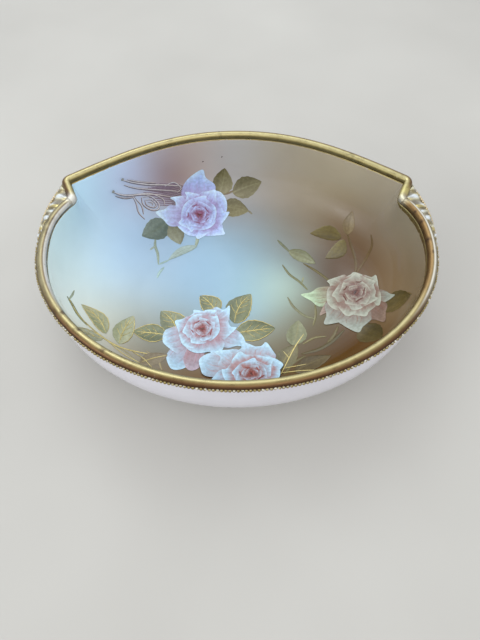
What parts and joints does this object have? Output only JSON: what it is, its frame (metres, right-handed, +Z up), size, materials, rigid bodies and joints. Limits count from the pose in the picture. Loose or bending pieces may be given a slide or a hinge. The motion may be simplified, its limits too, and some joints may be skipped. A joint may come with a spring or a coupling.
{
  "type": "butter dish",
  "caption": "Open oval porcelain dish on a low foot, with pinched ears, closed handles at the ends and a gilt beaded rim, for holding butter at table.",
  "frame": {"origin": "on the table under the middle of the dish", "axes": "+X along the dish to its right end, +Y from the beaded front to the plain back, +Z up"},
  "size_m": [0.186, 0.151, 0.05],
  "materials": {
    "painted_porcelain": "gloss glaze, hand painted inside",
    "white_porcelain": "gloss glaze, bare bisque at the foot's edge",
    "gilt": "burnished gilding over glaze",
    "gilt_beads": "worn gilding over raised slip beads",
    "worn_gilt": "worn gilding over moulded relief"
  },
  "bodies": {
    "root": {"bowl_body": "painted_porcelain", "foot_ring": "white_porcelain", "front_rim": "gilt", "back_rim": "gilt", "front_beads": "gilt_beads", "left_handle": "worn_gilt", "right_handle": "worn_gilt"}
  },
  "joints": []
}
